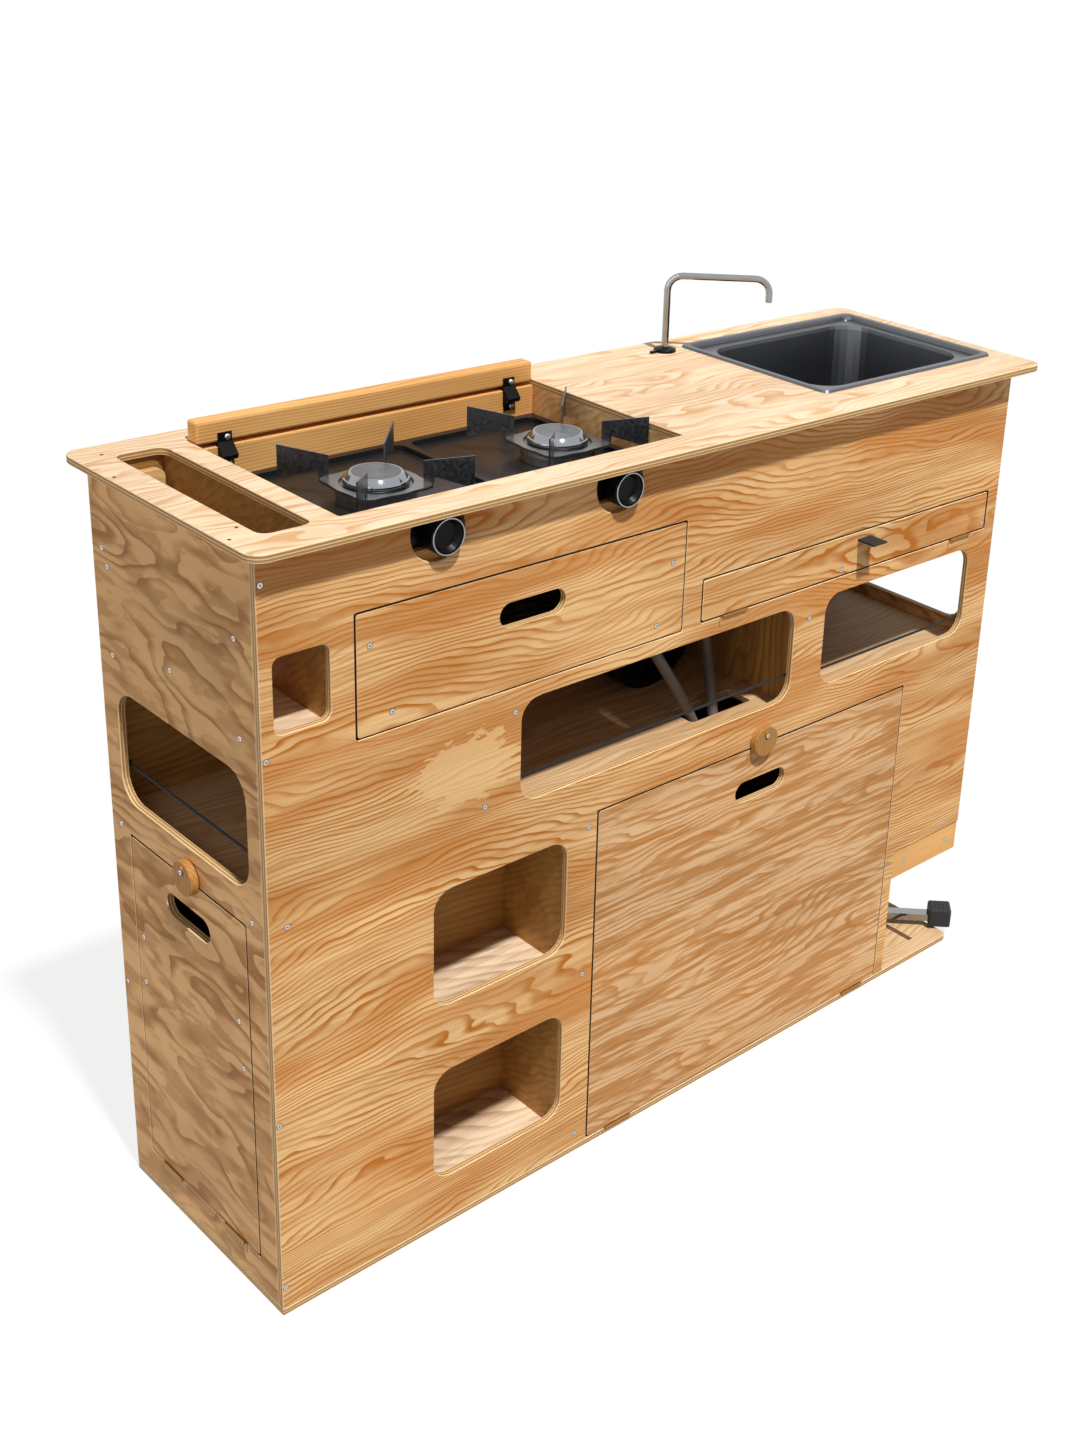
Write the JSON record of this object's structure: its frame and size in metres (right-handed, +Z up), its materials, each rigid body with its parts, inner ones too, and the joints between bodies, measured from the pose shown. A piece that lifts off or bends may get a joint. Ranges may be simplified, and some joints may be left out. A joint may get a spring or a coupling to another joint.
{
  "type": "campervan kitchen pod",
  "caption": "Plywood camper kitchen cabinet with a sunken burner hob, a sink and swivelling tap, a drawer, a drop flap, drop doors held by turn buttons, open cubbies and a foot pump",
  "frame": {"origin": "centre of the whole object's box on the floor", "axes": "+X along the front to the right end, +Y from the front face to the back, +Z up"},
  "size_m": [1.1985, 0.373, 1.0046],
  "materials": {
    "inner_ply": "plain fir plywood",
    "front_ply": "oiled fir plywood",
    "chrome": "polished",
    "black_steel": "black coating",
    "stainless": "brushed",
    "webbing": "woven webbing",
    "top_ply": "lacquered pale plywood",
    "hose_rubber": "matt hose",
    "pine": "oiled solid pine",
    "black_enamel": "black enamel",
    "black_plastic": "satin moulded",
    "cast_grey": "cast, worn",
    "black_rubber": "matt",
    "clear_vinyl": "clear soft vinyl"
  },
  "bodies": {
    "pod_body": {"back_panel": "inner_ply", "base_plate": "front_ply", "burner_cap_left": "chrome", "burner_cap_right": "chrome", "burner_ring_left": "black_steel", "burner_ring_right": "black_steel", "cubby_block": "inner_ply", "door_hinge_left": "stainless", "door_hinge_right": "stainless", "drawer_shelf": "inner_ply", "elastic_end_window": "webbing", "elastic_long_window": "webbing", "elastic_right_window": "webbing", "end_door_hinge_front": "stainless", "end_door_hinge_rear": "stainless", "flap_hinge_left": "stainless", "flap_hinge_right": "stainless", "flap_tray": "inner_ply", "foot_box": "inner_ply", "foot_rail": "top_ply", "front_panel": "front_ply", "gas_hose": "hose_rubber", "hob_body": "black_enamel", "left_end_panel": "front_ply", "mid_shelf": "inner_ply", "pan_support_left": "cast_grey", "pan_support_right": "cast_grey", "partition_left": "inner_ply", "partition_right": "inner_ply", "pocket_lining": "inner_ply", "pocket_tab": "top_ply", "pump_body": "black_plastic", "recess_front_rail": "inner_ply", "recess_rear_wall": "pine", "recess_side_left": "inner_ply", "recess_side_right": "inner_ply", "right_end_panel": "front_ply", "sink_bowl": "stainless", "sink_waste": "stainless", "tap_base": "black_plastic", "vent_drum": "black_plastic", "waste_hose": "hose_rubber", "water_hose": "clear_vinyl", "worktop": "top_ply"},
    "drawer": {"drawer_front": "front_ply", "drawer_box": "inner_ply"},
    "flap_leaf": {"flap": "front_ply", "flap_strap": "webbing"},
    "large_door_leaf": {"large_door": "front_ply"},
    "end_door_leaf": {"end_door": "front_ply"},
    "door_turn_button": {"door_button": "front_ply"},
    "end_turn_button": {"end_button": "front_ply"},
    "left_knob": {"knob_left": "black_plastic"},
    "right_knob": {"knob_right": "black_plastic"},
    "tap_arm": {"tap_spout": "chrome"},
    "rear_rail": {"hinged_rail": "pine", "rail_strap_left": "black_steel", "rail_strap_right": "black_steel"},
    "pedal": {"pump_lever": "chrome", "pump_pad": "black_rubber"}
  },
  "joints": [
    {"name": "drawer_slide", "type": "slide", "parent": "pod_body", "child": "drawer", "axis": [0, -1, 0], "range_m": [0, 0.2]},
    {"name": "flap_hinge", "type": "hinge", "parent": "pod_body", "child": "flap_leaf", "pos_m": [0.26912, -0.1604, 0.6717], "axis": [1, 0, 0], "range_deg": [0, 140]},
    {"name": "large_door_hinge", "type": "hinge", "parent": "pod_body", "child": "large_door_leaf", "pos_m": [0.12312, -0.1604, 0.01], "axis": [1, 0, 0], "range_deg": [0, 90]},
    {"name": "end_door_hinge", "type": "hinge", "parent": "pod_body", "child": "end_door_leaf", "pos_m": [-0.58673, 0.0027, 0.0523], "axis": [0, -1, 0], "range_deg": [0, 90]},
    {"name": "door_button_pivot", "type": "hinge", "parent": "pod_body", "child": "door_turn_button", "pos_m": [0.11812, -0.1585, 0.4936], "axis": [0, 1, 0], "range_deg": [0, 180]},
    {"name": "end_button_pivot", "type": "hinge", "parent": "pod_body", "child": "end_turn_button", "pos_m": [-0.58483, -0.0073, 0.4957], "axis": [1, 0, 0], "range_deg": [0, 180]},
    {"name": "left_knob_turn", "type": "hinge", "parent": "pod_body", "child": "left_knob", "pos_m": [-0.37283, -0.1495, 0.866], "axis": [0, 1, 0], "range_deg": [0, 200]},
    {"name": "right_knob_turn", "type": "hinge", "parent": "pod_body", "child": "right_knob", "pos_m": [-0.13133, -0.1495, 0.866], "axis": [0, 1, 0], "range_deg": [0, 200]},
    {"name": "tap_swivel", "type": "hinge", "parent": "pod_body", "child": "tap_arm", "pos_m": [0.20617, 0.1415, 0.9066], "axis": [0, 0, 1], "range_deg": [-120, 60]},
    {"name": "rear_rail_hinge", "type": "hinge", "parent": "pod_body", "child": "rear_rail", "pos_m": [-0.44283, 0.1254, 0.885], "axis": [1, 0, 0], "range_deg": [0, 90]},
    {"name": "pedal_hinge", "type": "hinge", "parent": "pod_body", "child": "pedal", "pos_m": [0.50387, -0.0602, 0.024], "axis": [-0.7071, -0.7071, 0], "range_deg": [0, 8]}
  ]
}
